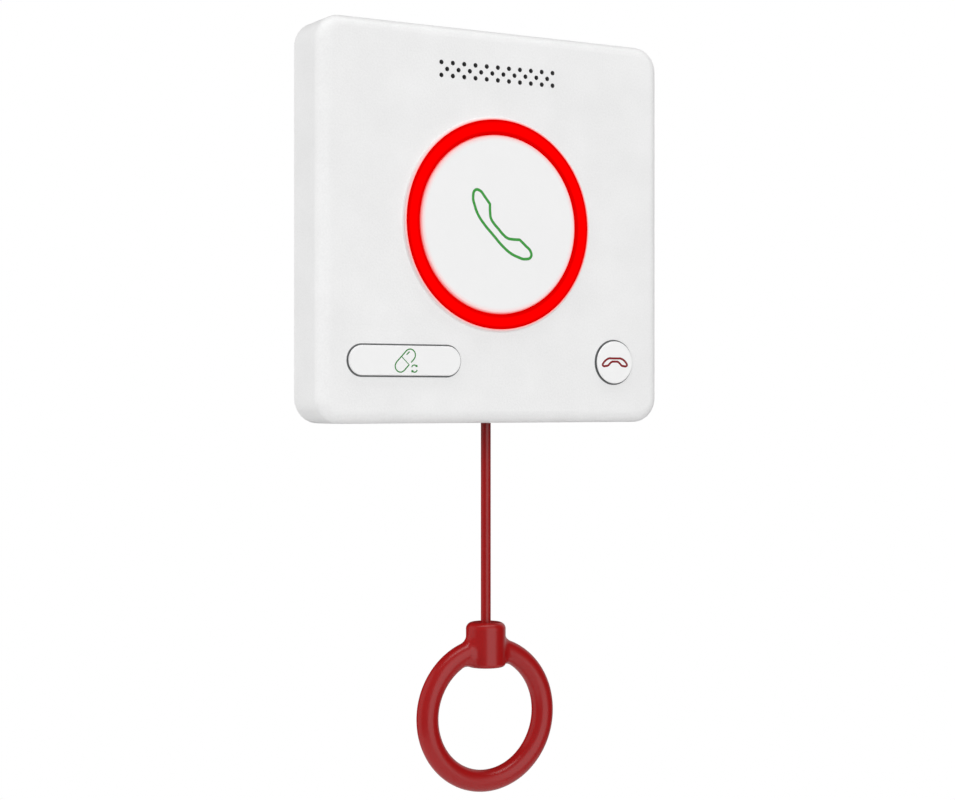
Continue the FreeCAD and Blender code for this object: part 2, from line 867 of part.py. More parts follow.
def cord_bush():
    """A flared ring in the lower wall that the cord runs through, its flange flat on the front side."""
    bore = cord_radius + cord_hole_gap
    reach = bush_radius + bush_flange
    flange = bar_down(reach, bush_top, inside_bottom)
    flange = flange.common(block((-reach, reach), (bottom, bush_top), (0, inside_front - inner_rounding)))
    body = together(flange, bar_down(bush_radius, inside_bottom, bottom))
    flare_centre = beside_cord(bore + bush_flare, bottom + bush_flare)
    slant = bush_flare * math.sqrt(0.5)
    mouth = Part.Arc(beside_cord(bore + bush_flare, bottom), flare_centre - Vector(slant, slant, 0),
                     beside_cord(bore, bottom + bush_flare)).toShape()
    spots = [beside_cord(bore, bottom + bush_flare), beside_cord(bore, bush_top), beside_cord(0, bush_top),
             beside_cord(0, bottom), beside_cord(bore + bush_flare, bottom)]
    passage = [mouth]
    passage.extend(run(first, second) for first, second in zip(spots, spots[1:]))
    return body.cut(turned_on_cord(passage))


def pull_guide():
    """The square guide that the slider runs in, clamped between the board and the case wall."""
    half = guide_half_width
    inner_half = half - guide_side_wall
    inner_depth = slider_half_depth + slider_gap
    shell = block((-half, half), (bush_top, guide_top), (guide_rear, inside_front))
    channel = block((-inner_half, inner_half), (bush_top, guide_top - guide_roof),
                    (cord_depth - inner_depth, cord_depth + inner_depth))
    ear_x = (-half - guide_ear, half + guide_ear)
    ear_z = (board_front, board_front + guide_ear_thick)
    ears = []
    for low in (bush_top, guide_top - guide_ear_length):
        ears.append(block(ear_x, (low, low + guide_ear_length), ear_z))
    slot_low = slider_low - pull_travel - slider_gap
    slot_z = (arm_z - arm_half_width - slider_gap, arm_z + arm_half_width + slider_gap)
    slot = block((0, half + guide_ear), (slot_low, slider_low + arm_thick + slider_gap), slot_z)
    return together(shell, *ears).cut([channel, slot])


def pull_slider():
    """The part that the cord pulls down: a flange, a hollow stem, a cup for the knot and an arm."""
    flange = block((-slider_half_width, slider_half_width), (slider_low, slider_top),
                   (cord_depth - slider_half_depth, cord_depth + slider_half_depth))
    stem = bar_down(stem_radius, slider_low + slider_thick / 2, slider_low - stem_length)
    cup = bar_down(knot_cup_radius, cup_top, slider_top - slider_thick / 2)
    arm_sides = (arm_z - arm_half_width, arm_z + arm_half_width)
    arm = block((0, arm_end), (slider_low, slider_low + arm_thick), arm_sides)
    body = together(flange, stem, cup, arm)
    bore = bar_down(cord_radius + cord_in_slider_gap, cup_top, slider_low - stem_length)
    pocket = bar_down(knot_radius + knot_gap, cup_top, slider_top + knot_floor)
    return body.cut([bore, pocket])


def rounded_knot(radius, upper, lower):
    """A stopper knot, as a barrel on the cord's line with well rounded ends."""
    knot = bar_down(radius, upper, lower)
    rims = [edge for edge in knot.Edges if edge.Curve.TypeId == "Part::GeomCircle"]
    return knot.makeFillet(radius * knot_softness, rims)


def inner_cord():
    """The end of the cord inside the case, with the stopper knot that sits in the slider's cup."""
    knot_low = slider_top + knot_floor
    knot = rounded_knot(knot_radius, knot_low + knot_length, knot_low)
    return together(knot, bar_down(cord_radius, knot_low + knot_length / 2, inner_cord_end))


def detector_body():
    """A small lever switch that lies on the board beside the slider."""
    x_range = (detector_left, detector_left + detector_length)
    z_range = (board_front, board_front + detector_thick)
    body = block(x_range, (detector_low, detector_top), z_range)
    ear_x = (pin_x - detector_ear_reach, pin_x + detector_ear_reach)
    ear_y = (detector_top - detector_ear, pin_y + detector_ear_reach)
    ears = []
    inner = lever_half_width + lever_side_gap
    for low in (arm_z - inner - detector_ear, arm_z + inner):
        ears.append(block(ear_x, ear_y, (low, low + detector_ear)))
    span = inner + detector_ear
    pin = Part.makeCylinder(lever_pin, 2 * span, Vector(pin_x, pin_y, arm_z - span))
    return together(body, *ears, pin)


def detector_lever():
    """A sprung strip, curled round the switch's pin and folded to a bead under the slider's arm."""
    half = lever_half_width
    low = arm_z - half
    bead_y = slider_low - lever_gap - lever_bead
    rise = bead_y - pin_y
    reach = math.sqrt(lever_length ** 2 - rise ** 2)
    bead_x = pin_x - reach
    bead = Part.makeCylinder(lever_bead, 2 * half, Vector(bead_x, bead_y, low))
    barrel = Part.makeCylinder(lever_barrel, 2 * half, Vector(pin_x, pin_y, low))
    strip = block((-lever_length, 0), (-lever_thick / 2, lever_thick / 2), (0, 2 * half))
    strip.rotate(Vector(0, 0, 0), Vector(0, 0, 1), -math.degrees(math.asin(rise / lever_length)))
    strip.translate(Vector(pin_x, pin_y, low))
    bore = Part.makeCylinder(lever_pin + lever_pin_gap, 2 * half, Vector(pin_x, pin_y, low))
    return together(bead, barrel, strip).cut(bore)


def pull_spring():
    """The compression spring between the bush and the slider."""
    spring = coil(pull_spring_radius, pull_spring_wire, pull_spring_height, pull_spring_turns)
    spring.rotate(Vector(0, 0, 0), Vector(1, 0, 0), -90)
    spring.translate(Vector(0, bush_top, cord_depth))
    return spring


def call_spring():
    """The compression spring round the call button's post."""
    under = ring_top - call_skin
    spring = coil(call_spring_radius, call_spring_wire, under - board_front, call_spring_turns)
    spring.translate(Vector(0, ring_up, board_front))
    return spring


def pull_cord():
    """The cord from the mouth of the bush down to its knot, round at the top where it bends."""
    lower = hub_top - hub_knot_depth - hub_knot_play
    bar = bar_down(cord_radius, bottom, lower)
    return together(bar, Part.makeSphere(cord_radius, beside_cord(0, bottom)))


def cord_knot():
    """The knot that holds the ring on the cord."""
    upper = hub_top - hub_knot_depth - hub_knot_play
    return rounded_knot(hub_knot_radius, upper, upper - hub_knot_length)


def pull_ring():
    """The moulded hand ring and the hub at its top, blended into one piece and hollow for the knot."""
    hoop = Part.makeTorus(hoop_radius, hoop_tube, beside_cord(0, hoop_y), Vector(0, 0, 1))
    low = hub_top - hub_length
    corner = hub_bottom_rounding
    slope = math.sqrt(0.5)
    shoulder_mid = beside_cord(hub_flat_radius + (hub_radius - hub_flat_radius) * slope,
                               hub_top - hub_shoulder * (1 - slope))
    corner_mid = beside_cord(hub_radius - corner * (1 - slope), low + corner * (1 - slope))
    shoulder = Part.Arc(beside_cord(hub_flat_radius, hub_top), shoulder_mid,
                        beside_cord(hub_radius, hub_top - hub_shoulder)).toShape()
    foot = Part.Arc(beside_cord(hub_radius, low + corner), corner_mid,
                    beside_cord(hub_radius - corner, low)).toShape()
    side = run(beside_cord(hub_radius, hub_top - hub_shoulder), beside_cord(hub_radius, low + corner))
    outline = [run(beside_cord(0, hub_top), beside_cord(hub_flat_radius, hub_top)), shoulder, side, foot,
               run(beside_cord(hub_radius - corner, low), beside_cord(0, low)),
               run(beside_cord(0, low), beside_cord(0, hub_top))]
    ring = blend_hub(together(turned_on_cord(outline), hoop))
    bore = bar_down(cord_radius + hub_bore_gap, hub_top, low)
    pocket = bar_down(hub_knot_radius + hub_knot_gap, hub_top - hub_knot_depth, low)
    return ring.cut([bore, pocket])


def blend_hub(ring):
    """Rounds the inside corners where the ring runs into the hub."""
    seams = []
    for edge in ring.Edges:
        kinds = {face.Surface.TypeId for face in ring.ancestorsOfType(edge, Part.Face)}
        joins = {"Part::GeomToroid", "Part::GeomCylinder"} <= kinds
        if joins and edge.Length > hoop_tube:
            seams.append(edge)
    return ring.makeFillet(hub_blend, seams)


def stand_up(shape):
    """Turns a piece from its back onto the wall plane, with the face of the case towards -y."""
    turned_shape = shape.copy()
    turned_shape.rotate(Vector(0, 0, 0), Vector(1, 0, 0), 90)
    return turned_shape


pieces = {
    "front_cover": front_cover(),
    "wall_plate": wall_plate(),
    "light_ring": light_ring(),
    "circuit_board": circuit_board(),
    "board_screws": board_screws(),
    "locking_screw": locking_screw(),
    "indicator_lamps": indicator_lamps(),
    "processor_chip": processor_chip(),
    "radio_module": radio_module(),
    "speaker_gasket": speaker_gasket(),
    "speaker_frame": speaker_frame(),
    "speaker_cone": speaker_cone(),
    "speaker_magnet": speaker_magnet(),
    "microphone": microphone(),
    "microphone_boot": microphone_boot(),
    "battery_pack": battery_pack(),
    "battery_leads": battery_leads(),
    "battery_plug": battery_plug(),
    "call_switch_body": switch_body(0, ring_up),
    "call_switch_plunger": switch_plunger(0, ring_up),
    "call_button": call_button(),
    "call_spring": call_spring(),
    "medication_switch_body": switch_body(pill_x, pill_y),
    "medication_switch_plunger": switch_plunger(pill_x, pill_y),
    "medication_button": small_button(pill_outline, pill_x, pill_y),
    "cancel_switch_body": switch_body(cancel_x, cancel_y),
    "cancel_switch_plunger": switch_plunger(cancel_x, cancel_y),
    "cancel_button": small_button(cancel_outline, cancel_x, cancel_y),
    "cord_bush": cord_bush(),
    "pull_guide": pull_guide(),
    "pull_slider": pull_slider(),
    "pull_spring": pull_spring(),
    "inner_cord": inner_cord(),
    "pull_switch_body": detector_body(),
    "pull_switch_lever": detector_lever(),
    "pull_cord": pull_cord(),
    "cord_knot": cord_knot(),
    "pull_ring": pull_ring(),
}

os.makedirs("parts", exist_ok=True)
for name, shape in pieces.items():
    stand_up(shape).exportStep(os.path.join("parts", name + ".step"))
    solids = len(shape.Solids)
    print(f"{name}: {solids} solid(s), {shape.Volume:.1f} mm3, valid {shape.isValid()}")
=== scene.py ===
import math

import bmesh
import bpy
from mathutils import Matrix, Vector


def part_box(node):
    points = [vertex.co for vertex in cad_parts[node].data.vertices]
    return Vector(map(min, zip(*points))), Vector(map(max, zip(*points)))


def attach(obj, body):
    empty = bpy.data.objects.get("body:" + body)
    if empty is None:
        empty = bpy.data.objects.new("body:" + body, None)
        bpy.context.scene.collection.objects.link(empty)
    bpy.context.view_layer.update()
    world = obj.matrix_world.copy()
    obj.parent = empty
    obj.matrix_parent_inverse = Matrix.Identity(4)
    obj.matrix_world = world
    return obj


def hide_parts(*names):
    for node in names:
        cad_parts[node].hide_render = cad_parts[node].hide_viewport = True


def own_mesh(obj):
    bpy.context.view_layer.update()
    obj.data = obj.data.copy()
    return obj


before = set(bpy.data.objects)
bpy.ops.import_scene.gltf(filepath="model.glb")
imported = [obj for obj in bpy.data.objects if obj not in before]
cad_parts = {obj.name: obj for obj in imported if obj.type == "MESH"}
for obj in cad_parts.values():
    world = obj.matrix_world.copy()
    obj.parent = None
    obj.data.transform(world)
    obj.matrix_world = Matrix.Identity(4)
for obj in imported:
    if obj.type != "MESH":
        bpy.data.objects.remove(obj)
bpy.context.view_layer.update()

# The camera looks level, from the left of the unit and from a little under its middle. The
# lens is a long one, so the case keeps its square shape.
camera = bpy.data.objects.new("camera", bpy.data.cameras.new("camera"))
camera.data.sensor_width = 36.0
camera.data.lens = 71.53
camera.location = (-0.3060, -0.5396, -0.0552)
camera.rotation_euler = (math.radians(90), 0, math.radians(-29.81))
bpy.context.scene.collection.objects.link(camera)
bpy.context.scene.camera = camera
bpy.context.scene.view_settings.view_transform = "Standard"

# The studio is white to the lens. Its walls light the unit from the viewer's side, less from
# behind and from below, and are dim in reflections, where the softboxes show instead.
strength_on_unit = 0.71
strength_in_gloss = 0.02
strength_to_lens = 1.0
studio = bpy.data.worlds.new("studio")
studio.use_nodes = True
bpy.context.scene.world = studio
walls = studio.node_tree
walls.nodes.clear()
direction = walls.nodes.new("ShaderNodeTexCoord")


def feed(tree, socket, source):
    """Gives a socket a fixed number or colour, or what another node puts out."""
    if isinstance(source, bpy.types.NodeSocket):
        tree.links.new(source, socket)
    else:
        socket.default_value = source


def between(tree, share, first, second, colour=False):
    """A number or colour between two others, where a share of one is all of the second."""
    mix = tree.nodes.new("ShaderNodeMix")
    mix.data_type = "RGBA" if colour else "FLOAT"
    feed(tree, mix.inputs[0], share)
    feed(tree, mix.inputs[6 if colour else 2], first)
    feed(tree, mix.inputs[7 if colour else 3], second)
    return mix.outputs[2 if colour else 0]


def arithmetic(tree, operation, value, other=0.0):
    """One step of arithmetic on a value, with a fixed number or another value."""
    step = tree.nodes.new("ShaderNodeMath")
    step.operation = operation
    feed(tree, step.inputs[0], value)
    feed(tree, step.inputs[1], other)
    return step.outputs[0]


def graded(tree, value, limits, levels=(0.0, 1.0), smooth=False):
    """Grades a value from one level, at its first limit, to another, at its last."""
    grade = tree.nodes.new("ShaderNodeMapRange")
    grade.interpolation_type = "SMOOTHSTEP" if smooth else "LINEAR"
    grade.inputs["From Min"].default_value, grade.inputs["From Max"].default_value = limits
    grade.inputs["To Min"].default_value, grade.inputs["To Max"].default_value = levels
    feed(tree, grade.inputs["Value"], value)
    return grade.outputs["Result"]


def wall_light(towards, limits, levels):
    """The walls' light, from the side away from a direction to the side towards it."""
    facing = walls.nodes.new("ShaderNodeVectorMath")
    facing.operation = "DOT_PRODUCT"
    feed(walls, facing.inputs[0], direction.outputs["Generated"])
    feed(walls, facing.inputs[1], towards)
    return graded(walls, facing.outputs["Value"], limits, levels, smooth=True)


viewer_side = wall_light((-0.766, -0.643, 0), limits=(-0.20, 0.45), levels=(0.30, 1.0))
upper_side = wall_light((0, 0, 1), limits=(-0.8, 0.1), levels=(0.80, 1.0))
both_sides = arithmetic(walls, "MULTIPLY", viewer_side, upper_side)
on_unit = arithmetic(walls, "MULTIPLY", both_sides, strength_on_unit)
ray = walls.nodes.new("ShaderNodeLightPath")
off_camera = between(walls, ray.outputs["Is Glossy Ray"], on_unit, strength_in_gloss)
glow = walls.nodes.new("ShaderNodeBackground")
feed(walls, glow.inputs["Color"], (1, 1, 1, 1))
feed(walls, glow.inputs["Strength"],
     between(walls, ray.outputs["Is Camera Ray"], off_camera, strength_to_lens))
sky = walls.nodes.new("ShaderNodeOutputWorld")
feed(walls, sky.inputs[0], glow.outputs[0])
aim = Vector((0, 0, -0.05))


def softbox(name, place, width, height, brightness, mirrored_in_gloss=True):
    """A large soft lamp that faces the unit from a place in the studio."""
    lamp = bpy.data.lights.new(name, "AREA")
    lamp.shape = "RECTANGLE"
    lamp.size, lamp.size_y = width, height
    lamp.energy = brightness * math.pi * width * height
    holder = bpy.data.objects.new(name, lamp)
    holder.location = place
    holder.visible_glossy = mirrored_in_gloss
    holder.rotation_euler = (aim - Vector(place)).to_track_quat("-Z", "Y").to_euler()
    bpy.context.scene.collection.objects.link(holder)


softbox("front_softbox", (0.10, -1.19, 0.10), width=1.32, height=1.8, brightness=1.12)
softbox("left_softbox", (-1.02, 0.60, 0.10), width=1.25, height=1.6, brightness=0.42)
softbox("left_fill", (-1.02, 0.60, 0.10), width=1.25, height=1.6, brightness=1.80,
        mirrored_in_gloss=False)
softbox("top_softbox", (-0.05, -0.20, 1.05), width=1.3, height=0.20, brightness=4.8)
softbox("right_softbox", (1.05, 0.56, 0.10), width=1.0, height=1.4, brightness=0.5)

# The floor is a pale painted table top, well below the ring. It fades into the white of the
# studio before it reaches its edge.
floor_z = -0.32
floor_radius = 0.6
fade_start = 0.20
fade_end = 0.56
table_grey = (0.80, 0.80, 0.80, 1)


def pattern_places(tree, shift=(0, 0, 0), scale=(1, 1, 1)):
    """The places on a piece, scaled and then shifted to stretch or centre a pattern."""
    places = tree.nodes.new("ShaderNodeTexCoord")
    laid = tree.nodes.new("ShaderNodeMapping")
    feed(tree, laid.inputs["Vector"], places.outputs["Object"])
    feed(tree, laid.inputs["Location"], shift)
    feed(tree, laid.inputs["Scale"], scale)
    return laid.outputs[0]


def distance_out(tree, places):
    """How far each place is from the middle of a centred pattern."""
    distance = tree.nodes.new("ShaderNodeVectorMath")
    distance.operation = "LENGTH"
    feed(tree, distance.inputs[0], places)
    return distance.outputs["Value"]


def piece_from(bm, name, finish, smooth=False):
    """A new piece, from its mesh and its finish."""
    for face in bm.faces:
        face.smooth = smooth
    piece = bpy.data.objects.new(name, bpy.data.meshes.new(name))
    bm.to_mesh(piece.data)
    bm.free()
    piece.data.materials.append(finish)
    bpy.context.scene.collection.objects.link(piece)
    return piece


table_top = bpy.data.materials.new("table_top")
table_top.use_nodes = True
tree = table_top.node_tree
surface = tree.nodes["Principled BSDF"]
feed(tree, surface.inputs["Base Color"], table_grey)
feed(tree, surface.inputs["Roughness"], 0.6)
clear = tree.nodes.new("ShaderNodeBsdfTransparent")
blend = tree.nodes.new("ShaderNodeMixShader")
from_middle = distance_out(tree, pattern_places(tree, scale=(1, 1, 0)))
feed(tree, blend.inputs["Fac"], graded(tree, from_middle, (fade_start, fade_end), smooth=True))
feed(tree, blend.inputs[1], surface.outputs[0])
feed(tree, blend.inputs[2], clear.outputs[0])
feed(tree, tree.nodes["Material Output"].inputs[0], blend.outputs[0])
bm = bmesh.new()
bmesh.ops.create_circle(bm, cap_ends=True, segments=96, radius=floor_radius)
bmesh.ops.translate(bm, verts=bm.verts, vec=(0, 0, floor_z))
floor = piece_from(bm, "floor", table_top)

# Front cover: a shell moulded in white ABS, with a fine spark-eroded grain. The buttons, the
# lit ring and the board are fitted into it from behind. The walls of the grille's holes are
# painted grey as shade, and the ring's red glow is painted on the cover round the ring.
MM = 0.001


def paint(red, green, blue):
    """A colour by its three numbers on a colour card, up to 255, in linear light.

    The card's scale is a power curve with a short straight toe at its dark end."""
    toe, toe_slope, offset, span, power = 0.04045, 12.92, 0.055, 1.055, 2.4
    parts = []
    for value in (red, green, blue):
        share = value / 255
        parts.append(share / toe_slope if share <= toe else ((share + offset) / span) ** power)
    return (*parts, 1.0)


def speckles(tree, places, scale, detail):
    """A pattern of soft random speckles, whose scale is how many go to the metre."""
    pattern = tree.nodes.new("ShaderNodeTexNoise")
    feed(tree, pattern.inputs["Vector"], places)
    feed(tree, pattern.inputs["Scale"], scale)
    feed(tree, pattern.inputs["Detail"], detail)
    return pattern.outputs["Fac"]


def embossed(tree, pattern, relief):
    """Raises a surface along a pattern, by a height in millimetres, over any earlier texture."""
    normal = tree.nodes["Principled BSDF"].inputs["Normal"]
    bump = tree.nodes.new("ShaderNodeBump")
    feed(tree, bump.inputs["Distance"], relief * MM)
    feed(tree, bump.inputs["Height"], pattern)
    if normal.links:
        feed(tree, bump.inputs["Normal"], normal.links[0].from_socket)
    feed(tree, normal, bump.outputs["Normal"])


def moulded(name, colour, roughness, grain, relief, drift, metal=0.0, gloss=0.5,
            stretch=(1, 1, 1)):
    """A moulded, sprayed, drawn or rolled surface.

    grain is the size of its texture in millimetres and relief the height of that texture.
    drift is how far its colour changes over a piece, and stretch draws the texture out."""
    patches_per_metre = 60.0
    polish_spread = 0.12
    finish = bpy.data.materials.new(name)
    finish.use_nodes = True
    tree = finish.node_tree
    skin = tree.nodes["Principled BSDF"]
    feed(tree, skin.inputs["Metallic"], metal)
    feed(tree, skin.inputs["Specular IOR Level"], gloss)
    patches = speckles(tree, pattern_places(tree), patches_per_metre, detail=4.0)
    fine = speckles(tree, pattern_places(tree, scale=stretch), 1 / (grain * MM), detail=3.0)
    mottle = between(tree, 0.5, patches, fine)
    darker = (*(part * (1 - drift) for part in colour[:3]), 1)
    lighter = (*(min(1, part * (1 + drift)) for part in colour[:3]), 1)
    feed(tree, skin.inputs["Base Color"], between(tree, mottle, darker, lighter, colour=True))
    polish = (roughness * (1 - polish_spread), roughness * (1 + polish_spread))
    feed(tree, skin.inputs["Roughness"], graded(tree, fine, (0.0, 1.0), polish))
    embossed(tree, fine, relief)
    return finish


def dress(finish, *names):
    """Gives the pieces of these names their finish."""
    for name in names:
        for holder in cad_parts[name].material_slots:
            holder.material = finish


def tinted(finish, share, tint):
    """Lays a second colour over a finish, where a share of one is all of it."""
    tree = finish.node_tree
    colour = tree.nodes["Principled BSDF"].inputs["Base Color"]
    feed(tree, colour, between(tree, share, colour.links[0].from_socket, tint, colour=True))


ring_centre_z = 0.6


def ring_distance(tree):
    """How far each place on a piece is from the middle of the lit ring, seen from the front."""
    centred = pattern_places(tree, shift=(0, 0, -ring_centre_z * MM), scale=(1, 0, 1))
    return distance_out(tree, centred)


def painted_ring_glow(finish, lit, dark):
    """Paints the ring's red glow onto a white finish, as a pink tint and a faint red emission.

    lit and dark are the distances from the ring's middle where the light is full and where
    it ends, in millimetres."""
    falloff = 2.0
    # Painted light: the pink tint and the red emission stand in for the ring's glow.
    painted_glow_tint = (0.92, 0.40, 0.39, 1)
    unlit = (0.0, 0.0, 0.0, 1)
    painted_glow_light = (0.16, 0.0, 0.0, 1)
    tree = finish.node_tree
    nearness = graded(tree, ring_distance(tree), (dark * MM, lit * MM))
    share = arithmetic(tree, "POWER", nearness, falloff)
    tinted(finish, share, painted_glow_tint)
    skin = tree.nodes["Principled BSDF"]
    feed(tree, skin.inputs["Emission Color"],
         between(tree, share, unlit, painted_glow_light, colour=True))
    feed(tree, skin.inputs["Emission Strength"], 1.0)


def coordinate(tree, places, axis):
    """How far each place is along one axis."""
    apart = tree.nodes.new("ShaderNodeSeparateXYZ")
    feed(tree, apart.inputs[0], places)
    return apart.outputs[axis]


front_y = 18.6
grille_z = 48.6
# Painted shade: the walls of the grille's holes, deeper than the front, are tinted grey.
hole_shade_half_width = 22.5
hole_shade_half_height = 3.4
hole_shade_behind_front = 0.05
hole_shade_grey = paint(124, 124, 125)
cover_white = moulded("cover_white", paint(236, 236, 236), roughness=0.42, grain=0.6,
                      relief=0.04, drift=0.12)
# Painted light: the ring's red glow on the cover round the ring.
painted_ring_glow(cover_white, lit=33.4, dark=34.5)
tree = cover_white.node_tree
places = pattern_places(tree, shift=(0, 0, -grille_z * MM))
painted_hole_shade = None
for axis, limit in (("X", hole_shade_half_width), ("Z", hole_shade_half_height),
                    ("Y", front_y - hole_shade_behind_front)):
    off_middle = arithmetic(tree, "ABSOLUTE", coordinate(tree, places, axis))
    within = arithmetic(tree, "LESS_THAN", off_middle, limit * MM)
    painted_hole_shade = within if painted_hole_shade is None else arithmetic(tree, "MULTIPLY", painted_hole_shade, within)
tinted(cover_white, painted_hole_shade, hole_shade_grey)
dress(cover_white, "front_cover")

# Loudspeaker and microphone: a film cone in a black frame with a plated magnet, and a small
# microphone in a rubber boot. Soft rings seal both to the back of the grille.
foam_black = moulded("foam_black", paint(38, 38, 40), roughness=0.9, grain=0.12, relief=0.05,
                     drift=0.15)
dress(foam_black, "speaker_gasket", "microphone_boot")
black_resin = moulded("black_resin", paint(28, 28, 30), roughness=0.45, grain=0.15,
                      relief=0.006, drift=0.1)
dress(black_resin, "speaker_frame")
plated_steel = moulded("plated_steel", paint(176, 178, 180), roughness=0.28, grain=0.2,
                       relief=0.003, drift=0.08, metal=1.0)
dress(plated_steel, "speaker_magnet")
drawn_tin = moulded("drawn_tin", paint(190, 190, 186), roughness=0.35, grain=0.3,
                    relief=0.003, drift=0.06, metal=1.0)
dress(drawn_tin, "microphone")
ridges_scale = 180.0
ridges_relief = 0.03
cone_film = moulded("cone_film", paint(34, 35, 37), roughness=0.4, grain=0.8, relief=0.02,
                    drift=0.1)
tree = cone_film.node_tree
ridges = tree.nodes.new("ShaderNodeTexWave")
ridges.wave_type = "RINGS"
ridges.rings_direction = "Y"
feed(tree, ridges.inputs["Scale"], ridges_scale)
feed(tree, ridges.inputs["Vector"], pattern_places(tree, shift=(0, 0, -grille_z * MM)))
embossed(tree, ridges.outputs["Fac"], ridges_relief)
dress(cone_film, "speaker_cone")

# Lit ring: clear acrylic with a matt face, lit evenly red from behind by lamps on the board.
# It is pushed in from behind and held by its flange. Its rims are a shade darker.
ring_outer = 33.3
ring_inner = 28.7
inner_rim_light = 0.46
outer_rim_light = 0.44
lights_across = ((0.11, 0.47), (0.26, 0.72), (0.74, 0.72), (0.89, 0.47))
frost_scale = 3000.0
frost_relief = 0.004
lit_red = bpy.data.materials.new("lit_red")
lit_red.use_nodes = True
tree = lit_red.node_tree
skin = tree.nodes["Principled BSDF"]
feed(tree, skin.inputs["Base Color"], (0.30, 0.0, 0.0, 1))
feed(tree, skin.inputs["Emission Strength"], 1.0)
feed(tree, skin.inputs["Specular IOR Level"], 0.0)
rims = tree.nodes.new("ShaderNodeValToRGB")
feed(tree, rims.inputs["Fac"],
     graded(tree, ring_distance(tree), (ring_inner * MM, ring_outer * MM)))
rims.color_ramp.elements[0].color = (inner_rim_light, 0.0, 0.0, 1)
rims.color_ramp.elements[1].color = (outer_rim_light, 0.0, 0.0, 1)
for share_across, light in lights_across:
    rims.color_ramp.elements.new(share_across).color = (light, 0.0, 0.0, 1)
feed(tree, skin.inputs["Emission Color"], rims.outputs["Color"])
embossed(tree, speckles(tree, pattern_places(tree), frost_scale, detail=2.0), frost_relief)
dress(lit_red, "light_ring")


# Call button: a large white cap inside the lit ring, on a steel spring, with a handset
# printed on it in green. The ring's red glow is painted onto its edge.
def printed_sign(name, strokes, width, ink, cap, front, centre, turn=0.0):
    """A sign printed on a cap as lines of one width.

    Each stroke is a list of points across and up the cap, in millimetres from the sign's
    centre, and whether its ends meet. A third value makes a point a corner. turn tilts the
    sign on the cap, in degrees."""
    thickness = 0.04
    curve = bpy.data.curves.new(name, "CURVE")
    curve.dimensions = "3D"
    curve.bevel_depth = width / 2 * MM
    curve.bevel_resolution = 3
    curve.use_fill_caps = True
    for points, closed in strokes:
        spline = curve.splines.new("BEZIER")
        spline.bezier_points.add(len(points) - 1)
        spline.use_cyclic_u = closed
        spline.resolution_u = 10
        for knot, (across, up, *corner) in zip(spline.bezier_points, points):
            knot.co = (across * MM, up * MM, 0)
            knot.handle_left_type = "VECTOR" if corner else "AUTO"
            knot.handle_right_type = "VECTOR" if corner else "AUTO"
    pen = bpy.data.objects.new(name + "_pen", curve)
    bpy.context.scene.collection.objects.link(pen)
    bpy.context.view_layer.update()
    mesh = bpy.data.meshes.new_from_object(pen.evaluated_get(bpy.context.evaluated_depsgraph_get()))
    bpy.data.objects.remove(pen)
    flat = Matrix.Diagonal((1, 1, thickness / width, 1))
    tilt = Matrix.Rotation(math.radians(turn), 4, "Z")
    upright = Matrix.Rotation(math.radians(90), 4, "X")
    place = Matrix.Translation((centre[0] * MM, front, centre[1] * MM))
    mesh.transform(place @ upright @ tilt @ flat)
    mesh.materials.clear()
    mesh.materials.append(moulded(name + "_ink", ink, roughness=0.5, grain=0.1, relief=0.001,
                                  drift=0.06, gloss=0.2))
    mesh.polygons.foreach_set("use_smooth", [True] * len(mesh.polygons))
    sign = bpy.data.objects.new(name, mesh)
    bpy.context.scene.collection.objects.link(sign)
    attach(sign, cap)


def mirrored(half):
    """A closed outline from its right half, which runs between two points of the middle line."""
    return half + [(-across, *rest) for across, *rest in reversed(half[1:-1])]


call_white = moulded("call_white", paint(240, 240, 240), roughness=0.36, grain=0.25,
                     relief=0.006, drift=0.03)
# Painted light: the ring's red glow on the cap's edge.
painted_ring_glow(call_white, lit=28.5, dark=26.3)
dress(call_white, "call_button")
spring_wire = moulded("spring_wire", paint(168, 168, 170), roughness=0.25, grain=0.15,
                      relief=0.002, drift=0.06, metal=1.0)


def coil_spring(name, node):
    """A coil spring, copied from its part and fixed to the housing."""
    merge_gap = 0.001
    bm = bmesh.new()
    bm.from_mesh(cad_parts[node].data)
    bmesh.ops.remove_doubles(bm, verts=bm.verts, dist=merge_gap * MM)
    bmesh.ops.recalc_face_normals(bm, faces=bm.faces)
    spring = piece_from(bm, name, spring_wire, smooth=True)
    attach(spring, "housing")
    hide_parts(node)
    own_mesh(spring)


coil_spring("call_return_spring", "call_spring")
handset_half = [(0, 1.38), (2.4, 1.38), (4.3, 1.75), (5.7, 2.75), (7.75, 4.7, "corner"),
                (10.6, 4.95), (13.2, 5.0), (14.45, 3.9), (13.4, 1.7), (11.2, 0.3),
                (8.4, -0.85), (5.2, -1.35), (0, -1.42)]
handset_green = paint(62, 154, 64)
printed_sign("call_sign", [(mirrored(handset_half), True)], width=0.92, ink=handset_green,
             cap="call_button", front=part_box("call_button")[0].y, centre=(-1.47, -1.87),
             turn=-44.7)

# Medication button: a long white cap in a round-ended opening. The foot of its flank is painted
# grey as shade, and a grey ring in the gap stands in for the shade there. Its sign is a capsule
# with two turning arrows, printed thinly in green.
# Painted shade: a grey ring fills each button's gap, standing in for the shade there.
gap_shade_grey = moulded("gap_shade_grey", paint(110, 112, 113), roughness=0.7, grain=0.15, relief=0.01,
                    drift=0.08)
# Painted shade: the grey on a cap's flank, where it sits in the gap.
flank_shade_grey = paint(100, 102, 104)


